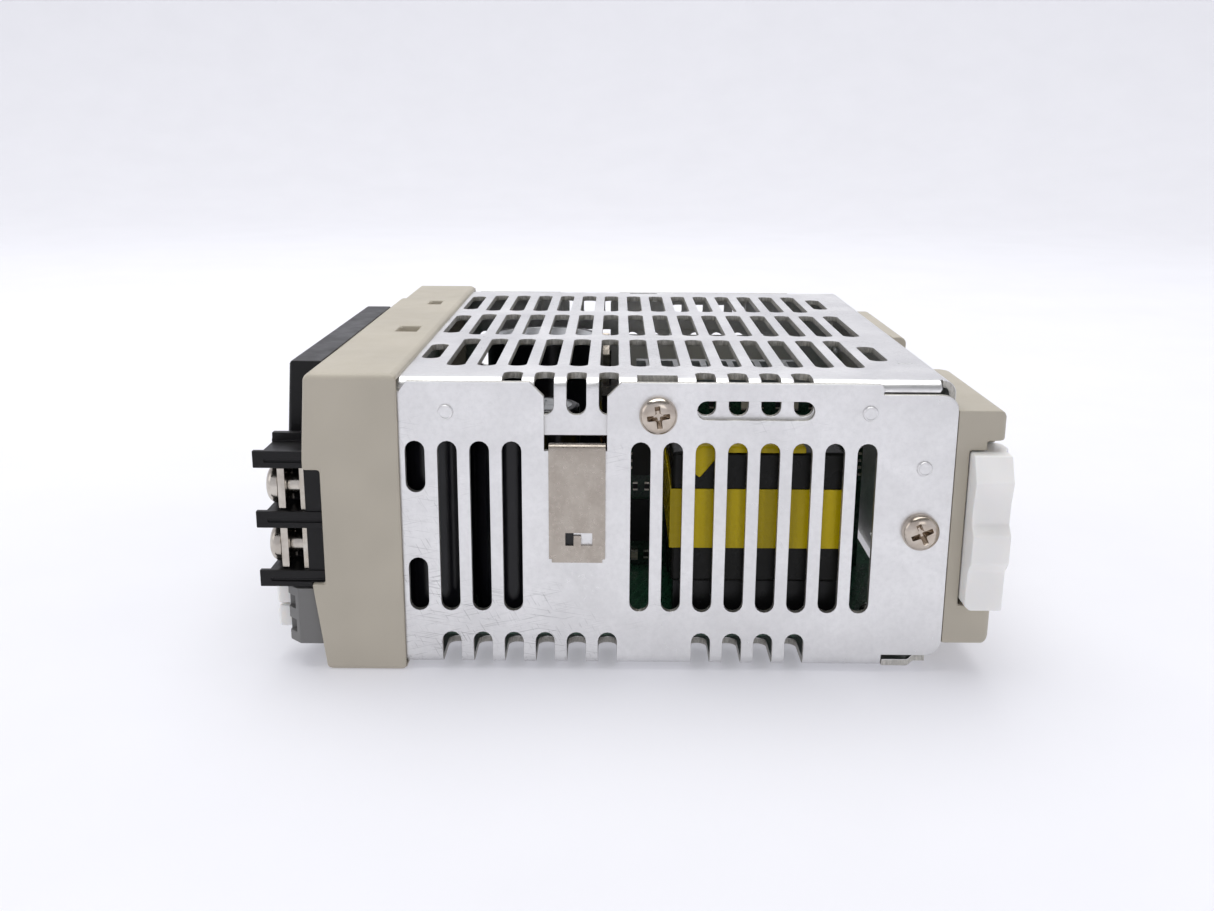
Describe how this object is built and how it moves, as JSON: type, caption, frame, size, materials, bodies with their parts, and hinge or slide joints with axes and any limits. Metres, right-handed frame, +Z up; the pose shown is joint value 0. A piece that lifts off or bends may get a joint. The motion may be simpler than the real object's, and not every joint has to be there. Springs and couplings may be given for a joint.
{
  "type": "din rail power supply",
  "caption": "Enclosed power supply for a DIN rail: vented sheet-metal case, moulded front with keys and screw terminals, and a rail foot with a sprung latch.",
  "frame": {"origin": "bottom centre of the whole object, lying on its left side", "axes": "+Z up across the unit's width, -Y towards the front with the terminals, +Y towards the rail, +X towards the end that hangs lowest on the rail"},
  "size_m": [0.1204, 0.1226, 0.0505],
  "materials": {
    "case_aluminium": "fine brushed, clear",
    "beige_plastic": "fine moulded texture",
    "black_plastic": "fine moulded texture",
    "grey_plastic": "fine moulded texture",
    "white_plastic": "smooth, slightly translucent",
    "nickel": "bright nickel plate",
    "zinc": "bright zinc plate",
    "tinned_copper": "tinned",
    "smoked_window": "clear smoked",
    "display_glass": "glossy",
    "green_board": "solder mask",
    "led_green": "diffuse",
    "key_grey": "smooth",
    "component_black": "moulded",
    "component_white": "moulded",
    "ferrite": "sintered",
    "tape_yellow": "film tape",
    "copper_wire": "enamelled",
    "bobbin_black": "moulded",
    "capacitor_sleeve": "shrink sleeve",
    "insulating_film": "film",
    "sink_aluminium": "extruded",
    "fuse_glass": "clear",
    "spring_steel": "bright"
  },
  "bodies": {
    "case": {"base_chassis": "case_aluminium", "board_screws": "zinc", "board_spacers": "zinc", "bridge_rectifier": "component_black", "case_screws": "nickel", "control_board": "green_board", "display_board": "green_board", "display_module": "display_glass", "display_window": "smoked_window", "film_capacitor": "tape_yellow", "foot_screws": "zinc", "front_frame": "beige_plastic", "front_panel": "black_plastic", "fuse": "fuse_glass", "heat_sink": "sink_aluminium", "indicator_lights": "led_green", "input_bus_plates": "tinned_copper", "input_capacitor": "capacitor_sleeve", "input_spring_clip": "nickel", "input_terminal_block": "black_plastic", "insulation_sheet": "insulating_film", "key_switches": "component_black", "latch_spring": "spring_steel", "line_filter_core": "ferrite", "line_filter_windings": "copper_wire", "main_board": "green_board", "output_bus_plates": "tinned_copper", "output_capacitors": "capacitor_sleeve", "output_choke": "copper_wire", "output_diode": "component_black", "output_spring_clip": "nickel", "output_terminal_block": "black_plastic", "rail_foot": "beige_plastic", "signal_connector": "grey_plastic", "switching_transistor": "component_black", "top_cover": "case_aluminium", "transformer_bobbin": "bobbin_black", "transformer_core": "ferrite", "transformer_tape": "tape_yellow", "transformer_top_tape": "tape_yellow", "transformer_winding": "tape_yellow", "trimmer_base": "component_white"},
    "rail_latch": {"rail_latch": "white_plastic"},
    "mode_button": {"mode_button": "key_grey"},
    "up_button": {"up_button": "key_grey"},
    "down_button": {"down_button": "key_grey"},
    "voltage_trimmer": {"voltage_trimmer": "white_plastic"},
    "release_lever_1": {"release_lever_1": "white_plastic"},
    "release_lever_2": {"release_lever_2": "white_plastic"},
    "output_clamp_1": {"output_clamp_1": "zinc"},
    "output_screw_1": {"output_screw_1": "zinc"},
    "output_clamp_2": {"output_clamp_2": "zinc"},
    "output_screw_2": {"output_screw_2": "zinc"},
    "input_clamp_1": {"input_clamp_1": "zinc"},
    "input_screw_1": {"input_screw_1": "zinc"},
    "input_clamp_2": {"input_clamp_2": "zinc"},
    "input_screw_2": {"input_screw_2": "zinc"},
    "input_clamp_3": {"input_clamp_3": "zinc"},
    "input_screw_3": {"input_screw_3": "zinc"}
  },
  "joints": [
    {"name": "latch_slide", "type": "slide", "parent": "case", "child": "rail_latch", "axis": [1, 0, 0], "range_m": [0, 0.005], "stiffness_N_per_m": 500, "springref_m": -0.01, "deforming": ["latch_spring"]},
    {"name": "mode_press", "type": "slide", "parent": "case", "child": "mode_button", "axis": [0, 1, 0], "range_m": [0, 0.0008], "stiffness_N_per_m": 1200, "springref_m": -0.0006},
    {"name": "up_press", "type": "slide", "parent": "case", "child": "up_button", "axis": [0, 1, 0], "range_m": [0, 0.0008], "stiffness_N_per_m": 1200, "springref_m": -0.0006},
    {"name": "down_press", "type": "slide", "parent": "case", "child": "down_button", "axis": [0, 1, 0], "range_m": [0, 0.0008], "stiffness_N_per_m": 1200, "springref_m": -0.0006},
    {"name": "lever_1_push", "type": "slide", "parent": "case", "child": "release_lever_1", "axis": [0, 1, 0], "range_m": [0, 0.0016], "stiffness_N_per_m": 2500, "springref_m": -0.001},
    {"name": "lever_2_push", "type": "slide", "parent": "case", "child": "release_lever_2", "axis": [0, 1, 0], "range_m": [0, 0.0016], "stiffness_N_per_m": 2500, "springref_m": -0.001},
    {"name": "trimmer_turn", "type": "hinge", "parent": "case", "child": "voltage_trimmer", "pos_m": [-0.03698, -0.05155, 0.014], "axis": [0, 1, 0], "range_deg": [-135, 135]},
    {"name": "output_clamp_1_slide", "type": "slide", "parent": "case", "child": "output_clamp_1", "axis": [0, 1, 0], "range_m": [0, 0.0024]},
    {"name": "output_screw_1_turn", "type": "hinge", "parent": "output_clamp_1", "child": "output_screw_1", "pos_m": [0.05108, -0.058, 0.02095], "axis": [0, 1, 0], "range_deg": [0, 1440]},
    {"name": "output_clamp_2_slide", "type": "slide", "parent": "case", "child": "output_clamp_2", "axis": [0, 1, 0], "range_m": [0, 0.0024]},
    {"name": "output_screw_2_turn", "type": "hinge", "parent": "output_clamp_2", "child": "output_screw_2", "pos_m": [0.05108, -0.058, 0.0311], "axis": [0, 1, 0], "range_deg": [0, 1440]},
    {"name": "input_clamp_1_slide", "type": "slide", "parent": "case", "child": "input_clamp_1", "axis": [0, 1, 0], "range_m": [0, 0.0024]},
    {"name": "input_screw_1_turn", "type": "hinge", "parent": "input_clamp_1", "child": "input_screw_1", "pos_m": [-0.05402, -0.058, 0.0141], "axis": [0, 1, 0], "range_deg": [0, 1440]},
    {"name": "input_clamp_2_slide", "type": "slide", "parent": "case", "child": "input_clamp_2", "axis": [0, 1, 0], "range_m": [0, 0.0024]},
    {"name": "input_screw_2_turn", "type": "hinge", "parent": "input_clamp_2", "child": "input_screw_2", "pos_m": [-0.05402, -0.058, 0.02425], "axis": [0, 1, 0], "range_deg": [0, 1440]},
    {"name": "input_clamp_3_slide", "type": "slide", "parent": "case", "child": "input_clamp_3", "axis": [0, 1, 0], "range_m": [0, 0.0024]},
    {"name": "input_screw_3_turn", "type": "hinge", "parent": "input_clamp_3", "child": "input_screw_3", "pos_m": [-0.05402, -0.058, 0.0344], "axis": [0, 1, 0], "range_deg": [0, 1440]}
  ],
  "couplings": [
    {"joint": "output_screw_1_turn", "follows": "output_clamp_1_slide", "rad_per_m": 10472},
    {"joint": "output_screw_2_turn", "follows": "output_clamp_2_slide", "rad_per_m": 10472},
    {"joint": "input_screw_1_turn", "follows": "input_clamp_1_slide", "rad_per_m": 10472},
    {"joint": "input_screw_2_turn", "follows": "input_clamp_2_slide", "rad_per_m": 10472},
    {"joint": "input_screw_3_turn", "follows": "input_clamp_3_slide", "rad_per_m": 10472}
  ]
}
